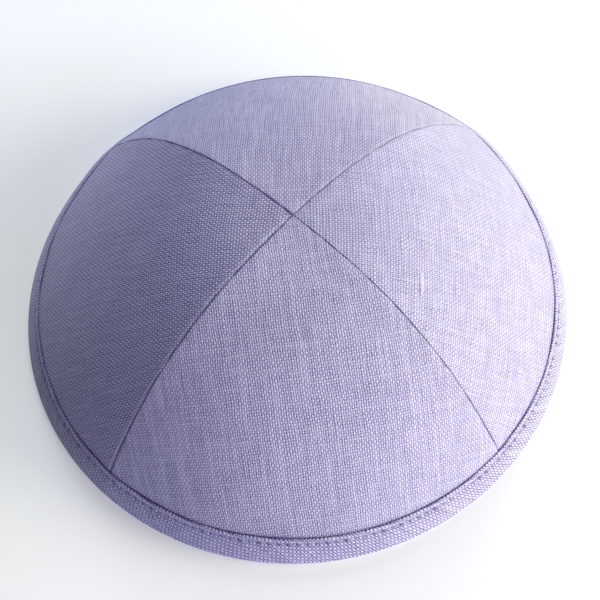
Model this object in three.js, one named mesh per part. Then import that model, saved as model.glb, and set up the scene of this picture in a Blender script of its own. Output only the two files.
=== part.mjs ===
// A small round cap of four linen panels, resting dome up on the folded band round its edge.
// Millimetres, +Z up. The origin is under the crown, on the surface that the cap rests on.
// Azimuths are in degrees from +X towards +Y, and -Y is the side called front.

import * as THREE from 'three';

// The cap as a whole
const RIM_RADIUS = 82.5; // outermost line of the band, halfway between its longest and shortest way
const CAP_HEIGHT = 49.5; // from the surface to the point where the four seams meet
const OUT_OF_ROUND = 0.7; // how far the soft rim stands out at its longest way and in at its shortest
const LONGEST_WAY = 73; // azimuth of the longest way
const CORNER_BULGE = 2.1; // how far the band's fold is pushed out at the back right seam
const CORNER_SEAM_BULGE = 1.1; // how far its seam line is pushed out there

// The band, a strip folded round the edge and sewn to the panels
const BAND_FACE = 8; // width of its sloping outer face, from the fold up to the seam line
const BAND_SLOPE = 58; // degrees from the surface
const BAND_WALL = 2.2; // two layers with the turned-in seam allowance between them
const REST_WIDTH = 1.4; // the fold is pressed flat this wide where it rests
const SEAM_WAVE = 1.1; // how far the seam line rises at the longest way and sinks at the shortest

// The panels
const PANEL_WALL = 1.5;
const CROWN_SLOPE = 3; // degrees below level where a seam leaves the crown
const SIDE_SLOPE = 57.5; // degrees below level where a seam reaches the band
const CROWN_PULL = 0.195; // how long the seam keeps the crown's slope, as a share of its chord
const SIDE_PULL = 0.58; // how long it keeps the side's slope, as a share of its chord
const CROWN_ROUNDNESS = 0.45; // 0 is a panel flat across from seam to seam, 1 is part of a circle
const ROUNDING_POWER = 3.1; // how late on the way down a panel becomes round
const CORNER_POWER = 6; // how late on the way down the panels follow the pushed out corners
const TIP_RADIUS = 0.5; // where the tips stop short of the crown's centre

// Between pieces
const PIECE_GAP = 0.3;

// Fineness of the facets
const PANEL_COLUMNS = 16;
const PANEL_ROWS = 24;
const BAND_STEPS = 96;
const OUTER_FOLD_STEPS = 5;
const INNER_FOLD_STEPS = 2;

const DEGREE = Math.PI / 180;
const SMALL_STEP = 1e-4;

const SEAM_AZIMUTHS = { backRight: 43.7, backLeft: 136.1, frontLeft: 226.5, frontRight: 315.1 };

// Both back seams push the rim out. share is of the bulge above, and spread is how many degrees
// to either side it takes to fade.
const CORNERS = [
  { seam: 'backRight', share: 1, spread: 12.5 },
  { seam: 'backLeft', share: 0.5, spread: 8 },
];

const PANELS = [
  { name: 'panel_back', starts: 'backRight', ends: 'backLeft' },
  { name: 'panel_left', starts: 'backLeft', ends: 'frontLeft' },
  { name: 'panel_front', starts: 'frontLeft', ends: 'frontRight' },
  { name: 'panel_right', starts: 'frontRight', ends: 'backRight' },
];

// Points of a section are Vector2: x is the distance from the cap's axis and y is the height.

function alongAngle(angle, length) {
  return new THREE.Vector2(Math.cos(angle) * length, Math.sin(angle) * length);
}

function angleBetween(a, b) {
  return Math.abs(THREE.MathUtils.euclideanModulo(a - b + Math.PI, 2 * Math.PI) - Math.PI);
}

// Places round the rim

// 1 at the longest way, -1 at the shortest.
function longness(azimuth) {
  return Math.cos(2 * (azimuth - LONGEST_WAY * DEGREE));
}

// How much of the bulge is left at an azimuth.
function cornerShare(azimuth) {
  return CORNERS.reduce((total, { seam, share, spread }) => {
    const away = angleBetween(azimuth, SEAM_AZIMUTHS[seam] * DEGREE);
    return total + share * Math.exp(-((away / (spread * DEGREE)) ** 2));
  }, 0);
}

const FOLD_RADIUS = BAND_WALL / 2;
const FOLD_HEIGHT = Math.sqrt(FOLD_RADIUS ** 2 - (REST_WIDTH / 2) ** 2);

function foldCentre(azimuth) {
  const out = OUT_OF_ROUND * longness(azimuth) + CORNER_BULGE * cornerShare(azimuth);
  return new THREE.Vector2(RIM_RADIUS - FOLD_RADIUS + out, FOLD_HEIGHT);
}

// The line on the outside where the panels meet the band, in its middle position.
function meanSeamPoint() {
  const upTheSlope = alongAngle(Math.PI - BAND_SLOPE * DEGREE, BAND_FACE);
  const outOfTheFace = alongAngle((90 - BAND_SLOPE) * DEGREE, FOLD_RADIUS);
  return new THREE.Vector2(RIM_RADIUS - FOLD_RADIUS, FOLD_HEIGHT).add(outOfTheFace).add(upTheSlope);
}

const MEAN_SEAM = meanSeamPoint();

function seamPoint(azimuth) {
  const out = OUT_OF_ROUND * longness(azimuth) + CORNER_SEAM_BULGE * cornerShare(azimuth);
  return MEAN_SEAM.clone().add(new THREE.Vector2(out, SEAM_WAVE * longness(azimuth)));
}

// The cap's outer surface

// The line of a seam from the crown (share 0) to the band (share 1).
function seamCurve() {
  const crown = new THREE.Vector2(0, CAP_HEIGHT);
  const chord = crown.distanceTo(MEAN_SEAM);
  const crownHandle = crown.clone().add(alongAngle(-CROWN_SLOPE * DEGREE, CROWN_PULL * chord));
  const sideHandle = MEAN_SEAM.clone().sub(alongAngle(-SIDE_SLOPE * DEGREE, SIDE_PULL * chord));
  return new THREE.CubicBezierCurve(crown, crownHandle, sideHandle, MEAN_SEAM);
}

const SEAM_CURVE = seamCurve();

// How far out a panel reaches between its seams, as a share of how far its seams reach there:
// an arc through both seams, flatter than the circle near the crown.
function reachBetweenSeams(fromMiddle, halfAngle, share) {
  const roundness = CROWN_ROUNDNESS + (1 - CROWN_ROUNDNESS) * share ** ROUNDING_POWER;
  const flat = Math.cos(halfAngle);
  const middle = flat + roundness * (1 - flat);
  const arcCentre = (middle ** 2 - 1) / (2 * (middle - flat));
  const arcRadius = middle - arcCentre;
  const across = arcCentre * Math.sin(fromMiddle);
  return arcCentre * Math.cos(fromMiddle) + Math.sqrt(arcRadius ** 2 - across ** 2);
}

// The section point of a panel's outside at an azimuth and a share of the way down.
function panelOutside(panel, azimuth, share) {
  const onSeam = SEAM_CURVE.getPoint(share);
  const reach = reachBetweenSeams(azimuth - panel.middle, panel.halfAngle, share);
  const spread = longness(azimuth) * share ** 2;
  const bulge = CORNER_SEAM_BULGE * cornerShare(azimuth) * share ** CORNER_POWER;
  return new THREE.Vector2(
    onSeam.x * reach * (1 + (OUT_OF_ROUND * spread + bulge) / MEAN_SEAM.x),
    onSeam.y + SEAM_WAVE * spread,
  );
}

function inSpace(azimuth, point) {
  return new THREE.Vector3(Math.cos(azimuth) * point.x, Math.sin(azimuth) * point.x, point.y);
}

// The way out of the cloth within the upright plane at an azimuth.
function outwardInSection(panel, azimuth, share) {
  const ahead = panelOutside(panel, azimuth, share + SMALL_STEP);
  const behind = panelOutside(panel, azimuth, share - SMALL_STEP);
  const down = ahead.sub(behind).normalize();
  return new THREE.Vector2(-down.y, down.x);
}

// The point under the outside that leaves the wall its thickness, measured square to the cloth.
function panelInside(panel, azimuth, share) {
  const place = (angle, way) => inSpace(angle, panelOutside(panel, angle, way));
  const down = place(azimuth, share + SMALL_STEP).sub(place(azimuth, share - SMALL_STEP));
  const round = place(azimuth + SMALL_STEP, share).sub(place(azimuth - SMALL_STEP, share));
  const squareToCloth = down.cross(round).normalize();
  const outward = outwardInSection(panel, azimuth, share);
  const depth = PANEL_WALL / squareToCloth.dot(inSpace(azimuth, outward));
  return panelOutside(panel, azimuth, share).addScaledVector(outward, -depth);
}

// Solids

// Joins rings of equal length into one closed skin. Rings that don't come round to the first one
// run out along the wall and back, and are closed at both ends by a strip across the wall.
function skinOverRings(rings, comesRound) {
  const count = rings[0].length;
  const corners = [];
  const corner = (ring, place) => (ring % rings.length) * count + (place % count);
  const addQuad = (a, b, c, d) => corners.push(a, b, c, a, c, d);
  const spans = comesRound ? rings.length : rings.length - 1;
  for (let ring = 0; ring < spans; ring += 1) {
    for (let place = 0; place < count; place += 1) {
      addQuad(
        corner(ring, place),
        corner(ring + 1, place),
        corner(ring + 1, place + 1),
        corner(ring, place + 1),
      );
    }
  }
  if (!comesRound) {
    const last = rings.length - 1;
    for (let place = 0; place < count / 2 - 1; place += 1) {
      const opposite = count - 1 - place;
      addQuad(corner(0, place), corner(0, place + 1), corner(0, opposite - 1), corner(0, opposite));
      addQuad(
        corner(last, place),
        corner(last, opposite),
        corner(last, opposite - 1),
        corner(last, place + 1),
      );
    }
  }
  const geometry = new THREE.BufferGeometry();
  const coordinates = rings.flat().flatMap((point) => [point.x, point.y, point.z]);
  geometry.setAttribute('position', new THREE.Float32BufferAttribute(coordinates, 3));
  geometry.setIndex(corners);
  geometry.computeVertexNormals();
  return geometry;
}

// One panel: a curved wall between two seams, stopping short of them and of the band.
function panelGeometry(panel) {
  const chord = SEAM_CURVE.v0.distanceTo(SEAM_CURVE.v3);
  const firstShare = TIP_RADIUS / (3 * CROWN_PULL * chord);
  const lastShare = 1 - PIECE_GAP / 2 / (3 * SIDE_PULL * chord);
  const rings = [];
  for (let row = 0; row <= PANEL_ROWS; row += 1) {
    const share = THREE.MathUtils.lerp(firstShare, lastShare, row / PANEL_ROWS);
    const inset = Math.asin(PIECE_GAP / 2 / SEAM_CURVE.getPoint(share).x);
    const outside = [];
    const inside = [];
    for (let column = 0; column <= PANEL_COLUMNS; column += 1) {
      const across = (2 * column) / PANEL_COLUMNS - 1;
      const azimuth = panel.middle + across * (panel.halfAngle - inset);
      outside.push(inSpace(azimuth, panelOutside(panel, azimuth, share)));
      inside.unshift(inSpace(azimuth, panelInside(panel, azimuth, share)));
    }
    rings.push([...outside, ...inside]);
  }
  return skinOverRings(rings, false);
}

// The section of the band at an azimuth, from its inner top edge down round the fold and up outside.
function bandSection(azimuth, panel) {
  const centre = foldCentre(azimuth);
  const seam = seamPoint(azimuth);
  const toSeam = seam.clone().sub(centre);
  const faceAngle = toSeam.angle() - Math.acos(FOLD_RADIUS / toSeam.length());
  const outOfTheFace = alongAngle(faceAngle, FOLD_RADIUS);
  const upTheFace = alongAngle(faceAngle + Math.PI / 2, 1);
  const outerTop = seam.clone().addScaledVector(upTheFace, -PIECE_GAP / 2);
  // The top is cut square to the panel above it, so that the gap between the two is even.
  const outward = outwardInSection(panel, azimuth, 1);
  const depth = BAND_WALL / (outward.dot(outOfTheFace) / FOLD_RADIUS);
  const innerTop = outerTop.clone().addScaledVector(outward, -depth);

  const section = [innerTop];
  const addArc = (from, to, steps) => {
    for (let step = 0; step <= steps; step += 1) {
      const angle = THREE.MathUtils.lerp(from, to, step / steps);
      section.push(centre.clone().add(alongAngle(angle, FOLD_RADIUS)));
    }
  };
  const restAngle = Math.asin(FOLD_HEIGHT / FOLD_RADIUS);
  addArc(faceAngle - Math.PI, restAngle - Math.PI, INNER_FOLD_STEPS);
  addArc(-restAngle, faceAngle, OUTER_FOLD_STEPS);
  const foldTop = section.at(-1);
  section.push(foldTop.clone().lerp(outerTop, 0.5), outerTop);
  return section;
}

function bandGeometry(panels) {
  const rings = [];
  for (let step = 0; step < BAND_STEPS; step += 1) {
    const azimuth = (2 * Math.PI * step) / BAND_STEPS;
    const above = panels.find((panel) => angleBetween(azimuth, panel.middle) <= panel.halfAngle);
    rings.push(bandSection(azimuth, above).map((point) => inSpace(azimuth, point)));
  }
  return skinOverRings(rings, true);
}

// Where each panel lies between its two seams
function placedPanels() {
  return PANELS.map(({ name, starts, ends }) => {
    const start = SEAM_AZIMUTHS[starts];
    const turn = THREE.MathUtils.euclideanModulo(SEAM_AZIMUTHS[ends] - start, 360);
    return { name, middle: (start + turn / 2) * DEGREE, halfAngle: (turn / 2) * DEGREE };
  });
}

// Materials and assembly

const panelLinen = new THREE.MeshStandardMaterial({ color: '#a7a3cb', roughness: 0.9, metalness: 0 });
const bandLinen = new THREE.MeshStandardMaterial({ color: '#a29dc6', roughness: 0.9, metalness: 0 });

function namedMesh(name, geometry, material) {
  const mesh = new THREE.Mesh(geometry, material);
  mesh.name = name;
  return mesh;
}

const panels = placedPanels();
const cap = new THREE.Group();
for (const panel of panels) {
  cap.add(namedMesh(panel.name, panelGeometry(panel), panelLinen));
}
cap.add(namedMesh('rim_band', bandGeometry(panels), bandLinen));

export default cap;
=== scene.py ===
"""A small round cap of four linen panels on a folded, stitched band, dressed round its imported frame.

Metres, +Z up. The origin is under the crown, on the surface that the cap rests on. Azimuths run
from +X towards +Y, and -Y is the side called front.
"""
import math
from typing import NamedTuple

import bpy
import numpy as np
from bpy.props import (
    FloatProperty,
    FloatVectorProperty,
    IntProperty,
    PointerProperty,
)
from mathutils import Matrix, Vector


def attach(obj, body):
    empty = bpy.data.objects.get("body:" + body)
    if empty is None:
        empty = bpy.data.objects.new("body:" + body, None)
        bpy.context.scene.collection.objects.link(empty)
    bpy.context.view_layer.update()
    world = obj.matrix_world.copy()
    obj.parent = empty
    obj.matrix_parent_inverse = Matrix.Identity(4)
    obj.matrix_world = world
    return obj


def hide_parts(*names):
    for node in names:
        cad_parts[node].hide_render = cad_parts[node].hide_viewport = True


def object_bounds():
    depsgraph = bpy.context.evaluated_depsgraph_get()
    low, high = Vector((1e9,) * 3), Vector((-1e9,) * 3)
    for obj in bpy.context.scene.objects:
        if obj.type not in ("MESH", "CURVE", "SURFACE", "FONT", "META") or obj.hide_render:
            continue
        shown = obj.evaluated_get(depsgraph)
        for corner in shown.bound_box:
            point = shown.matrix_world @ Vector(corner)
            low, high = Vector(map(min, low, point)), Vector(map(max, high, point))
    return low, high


bl_info = {
    "name": "Linen cap",
    "version": (1, 0, 0),
    "blender": (4, 5, 0),
    "location": "View3D > Sidebar > Linen cap",
    "description": "Makes a four-panel linen cap with a folded and stitched band",
    "category": "Add Mesh",
}

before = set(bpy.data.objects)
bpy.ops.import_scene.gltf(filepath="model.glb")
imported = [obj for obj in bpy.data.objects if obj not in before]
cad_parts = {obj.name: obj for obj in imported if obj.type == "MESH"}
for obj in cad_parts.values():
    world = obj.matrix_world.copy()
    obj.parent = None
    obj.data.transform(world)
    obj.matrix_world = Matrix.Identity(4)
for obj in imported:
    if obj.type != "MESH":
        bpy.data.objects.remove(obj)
CAD_LOW, CAD_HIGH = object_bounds()
RIM_RADIUS = (CAD_HIGH.x - CAD_LOW.x + CAD_HIGH.y - CAD_LOW.y) / 4
# Both back seams push the rim out. Each corner is the place of its seam among the seam azimuths,
# its share of the bulge, and how many degrees to either side it takes to fade.
CORNERS = ((0, 1.0, 12.5), (1, 0.5, 8.0))
CORNER_POWER = 6

MM = 0.001
BODY = "root"
CLOTH_MAP = "cloth"
# Point attribute of painted light: shade in seams, needle holes and under the band's lip, and a highlight
# on pressed seam edges where it is below 0
PAINTED_LIGHT_ATTRIBUTE = "shade_and_highlight"
SMALL_STEP = 1e-4
PALE_LIGHT = (0.93, 0.95, 0.98, 1)

# How far the marks of the sewing reach, with the painted highlight beside a seam and the painted shade in a
# needle slit
ALLOWANCE_STEP = 0.4 * MM
HIGHLIGHT_STRIP_WAY = 0.75 * MM
HIGHLIGHT_STRIP_REACH = 0.28 * MM
HOLE_REACH = 0.42 * MM
GROOVE_REACH = 0.5 * MM
SLIT_WIDTH = 0.42 * MM
SLIT_LENGTH = 0.85 * MM
SLIT_TURN = math.radians(40)

# Fineness of the meshes
ROLL_STEPS = 6
BESIDE_SEAM_STEPS = 9
TIP_ROWS = 6
BODY_ROWS = 112
BODY_COLUMNS = 96
PATTERN_POINTS = 25
PATTERN_DEGREE = 5
PATTERN_ROUNDS = 1500
PLACE_ROUNDS = 12
STEPS_A_STITCH = 8
HIDDEN_SIDE_STRIDE = 3


# Sizes and colours


class CapSizes(bpy.types.PropertyGroup):
    """The sizes that the form of the cap is worked out from."""

    rim_radius: FloatProperty(
        name="Rim radius",
        description="Outermost line of the band, halfway between its longest and shortest way",
        default=RIM_RADIUS,
        subtype="DISTANCE",
    )
    cap_height: FloatProperty(
        name="Cap height",
        description="From the surface to the point where the four seams meet",
        default=CAD_HIGH.z,
        subtype="DISTANCE",
    )
    out_of_round: FloatProperty(
        name="Out of round",
        description="How far the soft rim stands out at its longest way and in at its shortest",
        default=0.7 * MM,
        subtype="DISTANCE",
    )
    longest_way: FloatProperty(
        name="Longest way",
        description="Azimuth of the longest way across",
        default=math.radians(73),
        subtype="ANGLE",
    )
    seam_azimuths: FloatVectorProperty(
        name="Seam azimuths",
        description="Back right, back left, front left and front right",
        size=4,
        default=tuple(math.radians(angle) for angle in (43.7, 136.1, 226.5, 315.1)),
        unit="ROTATION",
    )
    corner_bulge: FloatProperty(
        name="Corner bulge",
        description="How far the band's fold is pushed out at the back right seam",
        default=2.1 * MM,
        subtype="DISTANCE",
    )
    corner_seam_bulge: FloatProperty(
        name="Corner seam bulge",
        description="How far the band's seam line is pushed out there",
        default=1.1 * MM,
        subtype="DISTANCE",
    )
    crown_slope: FloatProperty(
        name="Crown slope",
        description="Below level where a seam leaves the crown",
        default=math.radians(3),
        subtype="ANGLE",
    )
    side_slope: FloatProperty(
        name="Side slope",
        description="Below level where a seam reaches the band",
        default=math.radians(57.5),
        subtype="ANGLE",
    )
    crown_pull: FloatProperty(
        name="Crown pull",
        description="How long a seam keeps the crown's slope, as a share of its chord",
        default=0.195,
    )
    side_pull: FloatProperty(
        name="Side pull",
        description="How long a seam keeps the side's slope, as a share of its chord",
        default=0.58,
    )
    crown_roundness: FloatProperty(
        name="Crown roundness",
        description="0 is a panel flat across from seam to seam, 1 is part of a circle",
        default=0.45,
    )
    rounding_power: FloatProperty(
        name="Rounding power",
        description="How late on the way down a panel becomes round",
        default=3.1,
    )
    panel_wall: FloatProperty(
        name="Panel wall",
        description="From a panel's outside to its inside, away from its seams",
        default=1.5 * MM,
        subtype="DISTANCE",
    )
    band_face: FloatProperty(
        name="Band face",
        description="Width of the band's outer face, from the fold up to the seam line",
        default=8 * MM,
        subtype="DISTANCE",
    )
    band_slope: FloatProperty(
        name="Band slope",
        description="Slope of the band's outer face from the surface",
        default=math.radians(58),
        subtype="ANGLE",
    )
    band_wall: FloatProperty(
        name="Band wall",
        description="Thickness of the folded band",
        default=2.2 * MM,
        subtype="DISTANCE",
    )
    rest_width: FloatProperty(
        name="Rest width",
        description="How wide the fold is pressed flat where it rests",
        default=1.4 * MM,
        subtype="DISTANCE",
    )
    seam_wave: FloatProperty(
        name="Seam wave",
        description="How far the seam line rises at the longest way and sinks at the shortest",
        default=1.1 * MM,
        subtype="DISTANCE",
    )


class SewingSizes(bpy.types.PropertyGroup):
    """What sewing does to the edges of the cloth, and the row of stitches in the band."""

    seam_roll: FloatProperty(
        name="Seam roll",
        description="Radius of a panel's edge where it turns down into a seam",
        default=0.35 * MM,
        subtype="DISTANCE",
    )
    # Widths of the painted shade in each seam's line
    seam_line_shades: FloatVectorProperty(
        name="Seam openness",
        description="How wide each seam's dark line is: back right, back left, front left, front right",
        size=4,
        default=(0.75, 1.8, 1.25, 0.85),
    )
    # Strength of the painted highlight on each seam's pressed edge
    highlight_strengths: FloatVectorProperty(
        name="Pale edges",
        description="How pale the pressed edge beside each seam is; below 0 on the seam's other side",
        size=4,
        default=(-0.25, 0, 0.65, 0.08),
    )
    seam_gap: FloatProperty(
        name="Seam gap",
        description="Between two panels in their seam, and between a panel and the band",
        default=0.03 * MM,
        subtype="DISTANCE",
    )
    allowance_width: FloatProperty(
        name="Allowance width",
        description="Width of the seam allowance turned under beside each seam",
        default=6 * MM,
        subtype="DISTANCE",
    )
    allowance_rise: FloatProperty(
        name="Allowance rise",
        description="How far the allowance stands out on the inside",
        default=0.3 * MM,
        subtype="DISTANCE",
    )
    allowance_swell: FloatProperty(
        name="Allowance swell",
        description="How far the allowance lifts the outside beside a seam",
        default=0.14 * MM,
        subtype="DISTANCE",
    )
    pucker: FloatProperty(
        name="Pucker",
        description="Height of the small gathers beside a seam",
        default=0.05 * MM,
        subtype="DISTANCE",
    )
    softness: FloatProperty(
        name="Softness",
        description="Height of the faint waves in the pressed cloth",
        default=0.1 * MM,
        subtype="DISTANCE",
    )
    band_layer: FloatProperty(
        name="Band layer",
        description="Thickness of one layer of the band",
        default=0.5 * MM,
        subtype="DISTANCE",
    )
    lip_roll: FloatProperty(
        name="Lip roll",
        description="Radius at which the band's edges are turned in",
        default=0.28 * MM,
        subtype="DISTANCE",
    )
    lip_rise: FloatProperty(
        name="Lip rise",
        description="How far the band's upper lip stands above the panels",
        default=0.32 * MM,
        subtype="DISTANCE",
    )
    turned_in: FloatProperty(
        name="Turned in",
        description="Width of the edge turned in under each lip",
        default=1.6 * MM,
        subtype="DISTANCE",
    )
    stitch_line: FloatProperty(
        name="Stitch line",
        description="From the band's upper lip down to its row of stitches",
        default=2.15 * MM,
        subtype="DISTANCE",
    )
    stitch_length: FloatProperty(
        name="Stitch length",
        description="From one needle hole to the next",
        default=2.65 * MM,
        subtype="DISTANCE",
    )
    stitch_sink: FloatProperty(
        name="Stitch sink",
        description="Depth of the groove that the stitches pull into the band",
        default=0.06 * MM,
        subtype="DISTANCE",
    )
    hole_sink: FloatProperty(
        name="Hole sink",
        description="How much deeper the band dips at a needle hole",
        default=0.22 * MM,
        subtype="DISTANCE",
    )
    thread_radius: FloatProperty(
        name="Thread radius",
        description="Radius of the sewing thread",
        default=0.12 * MM,
        subtype="DISTANCE",
    )
    stitch_slant: FloatProperty(
        name="Stitch slant",
        description="How far a stitch turns out of its row",
        default=math.radians(7),
        subtype="ANGLE",
    )
    seed: IntProperty(
        name="Seed",
        description="Chooses the small differences between stitches, gathers and waves",
        default=7,
    )


class LinenFinish(bpy.types.PropertyGroup):
    """Colours and yarns of the linen."""

    pale_yarn: FloatVectorProperty(
        name="Pale yarn",
        description="The palest yarns",
        subtype="COLOR",
        size=4,
        default=(0.567, 0.548, 0.835, 1),
    )
    deep_yarn: FloatVectorProperty(
        name="Deep yarn",
        description="The deepest coloured yarns",
        subtype="COLOR",
        size=4,
        default=(0.352, 0.344, 0.625, 1),
    )
    # Colour of the painted shade in the holes between the yarns
    weave_hole_shade: FloatVectorProperty(
        name="Between yarns",
        description="What shows in the holes of the weave",
        subtype="COLOR",
        size=4,
        default=(0.085, 0.078, 0.235, 1),
    )
    # Colour of the painted shade deep in the seams, needle holes and under the band's lip
    seam_and_hole_shade: FloatVectorProperty(
        name="In creases",
        description="Deep in the seams and needle holes",
        subtype="COLOR",
        size=4,
        default=(0.03, 0.02, 0.2, 1),
    )
    # Colour of the painted highlight on the pressed edge beside a seam
    edge_highlight: FloatVectorProperty(
        name="Pressed edge",
        description="Where a pressed edge beside a seam is rubbed pale",
        subtype="COLOR",
        size=4,
        default=(0.7, 0.65, 1, 1),
    )
    thread: FloatVectorProperty(
        name="Thread",
        description="Sewing thread",
        subtype="COLOR",
        size=4,
        default=(0.36, 0.34, 0.60, 1),
    )
    panel_pitches: FloatVectorProperty(
        name="Panel pitches",
        description="Between yarns that run along a panel's middle, and between those across",
        size=2,
        default=(0.645 * MM, 0.81 * MM),
        unit="LENGTH",
    )
    panel_turns: FloatVectorProperty(
        name="Panel turns",
        description="How far the yarns of the back, left, front and right panel are turned",
        size=4,
        default=tuple(math.radians(angle) for angle in (3, 8, -5, 0)),
        unit="ROTATION",
    )
    band_pitches: FloatVectorProperty(
        name="Band pitches",
        description="Between the yarns of the band's two directions",
        size=2,
        default=(0.75 * MM, 0.79 * MM),
        unit="LENGTH",
    )
    band_bias: FloatProperty(
        name="Band bias",
        description="How far the band's yarns are turned from its length",
        default=math.radians(42),
        subtype="ANGLE",
    )
    unevenness: FloatProperty(
        name="Unevenness",
        description="How much the yarns differ in colour along their length",
        default=1.25,
    )
    # Partly a real difference between the two sets of yarns and partly painted light: each panel's value
    # follows how the window light shades its yarns
    panel_differences: FloatVectorProperty(
        name="Panel differences",
        description="How much paler the yarns along a panel's middle are: back, left, front, right",
        size=4,
        default=(0.7, 2.0, 0.6, -0.7),
    )
    band_difference: FloatProperty(
        name="Band difference",
        description="How much paler the yarns of the band's one direction are than the other's",
        default=2.3,
    )
    # Painted shade between each panel's yarns; the left panel's is widest, painting in the shade of the
    # side away from the window
    panel_hole_shades: FloatVectorProperty(
        name="Panel openness",
        description="How wide the dark holes between a panel's yarns are: back, left, front, right",
        size=4,
        default=(0.1, 0.27, 0.08, 0.1),
    )
    # Width of the painted shade between the band's yarns
    band_hole_shade: FloatProperty(
        name="Band openness",
        description="How wide the dark holes between the band's yarns are",
        default=0.25,
    )
    panel_slubs: FloatVectorProperty(
        name="Panel slubs",
        description="How marked a panel's thick places are: back, left, front, right",
        size=4,
        default=(1, 0.35, 1, 0.35),
    )
    band_slubs: FloatProperty(
        name="Band slubs",
        description="How marked the band's thick places are",
        default=1,
    )
    slub_paleness: FloatProperty(
        name="Slub paleness",
        description="How much paler the thick places in the yarns are",
        default=0.18,
    )
    thick_yarn_start: FloatVectorProperty(
        name="Thick yarn start",
        description="Thin end of the thick place in the right panel, from the tip of its flat cloth",
        size=2,
        default=(-23.6 * MM, 37.4 * MM),
        unit="LENGTH",
    )
    thick_yarn_end: FloatVectorProperty(
        name="Thick yarn end",
        description="Blunt end of the thick place",
        size=2,
        default=(-14.4 * MM, 37.4 * MM),
        unit="LENGTH",
    )
    thick_yarn_width: FloatProperty(
        name="Thick yarn width",
        description="Where the thick place is thickest",
        default=1.25 * MM,
        subtype="DISTANCE",
    )
    thick_yarn: FloatVectorProperty(
        name="Thick yarn",
        description="Colour of the thick place",
        subtype="COLOR",
        size=4,
        default=(0.5, 0.48, 0.78, 1),
    )
    relief: FloatProperty(
        name="Relief",
        description="Height of the weave",
        default=0.125 * MM,
        subtype="DISTANCE",
    )
    sheen: FloatProperty(
        name="Sheen",
        description="Strength of the pale bloom of loose fibres",
        default=0.35,
        subtype="FACTOR",
    )


class StageSettings(bpy.types.PropertyGroup):
    """The camera and the studio light."""

    camera_distance: FloatProperty(
        name="Camera distance",
        description="From the camera to the middle of the rim",
        default=5 * RIM_RADIUS,
        subtype="DISTANCE",
    )
    camera_elevation: FloatProperty(
        name="Camera elevation",
        description="Of the camera above the surface",
        default=math.radians(61.5),
        subtype="ANGLE",
    )
    camera_roll: FloatProperty(
        name="Camera roll",
        description="Turn of the camera about its own axis",
        default=math.radians(-2.374),
        subtype="ANGLE",
    )
    camera_target: FloatVectorProperty(
        name="Camera target",
        description="What the middle of the picture shows",
        size=3,
        default=(0.99 * MM, 0, 0.33 * MM),
        subtype="TRANSLATION",
    )
    camera_lens: FloatProperty(
        name="Camera lens",
        description="Focal length in millimetres on a sensor 36 mm wide",
        default=80.87,
    )
    window_power: FloatProperty(
        name="Window power",
        description="Power of the low soft light on the right",
        default=13.1,
        subtype="POWER",
    )
    front_power: FloatProperty(
        name="Front power",
        description="Power of the soft light in front, to the right",
        default=4.9,
        subtype="POWER",
    )
    back_power: FloatProperty(
        name="Back power",
        description="Power of the soft light behind",
        default=6.2,
        subtype="POWER",
    )
    ambient: FloatProperty(
        name="Ambient",
        description="Strength of the even light of the room",
        default=0.01,
    )
    floor_glow: FloatProperty(
        name="Floor glow",
        description="How much light comes through the pale surface",
        default=0.34,
    )


# The form of the cap

# A section point is (distance from the cap's axis, height).


class Panel(NamedTuple):
    """One panel between its two seams."""

    side: str
    middle: float
    half_angle: float


def heading(angle):
    """Unit vectors at angles from the section's outward axis."""
    return np.stack([np.cos(angle), np.sin(angle)], -1)


def in_space(azimuth, point):
    """Points of upright sections at azimuths, in space."""
    away, height = point[..., 0], point[..., 1]
    return np.stack([np.cos(azimuth) * away, np.sin(azimuth) * away, height + 0 * azimuth], -1)


def unit(vectors):
    """Vectors of the same headings with length one."""
    return vectors / np.linalg.norm(vectors, axis=-1, keepdims=True)


def eased(low, high, value):
    """0 below low and 1 above high, with a soft change between them."""
    share = np.clip((value - low) / (high - low), 0, 1)
    return share * share * (3 - 2 * share)


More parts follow.
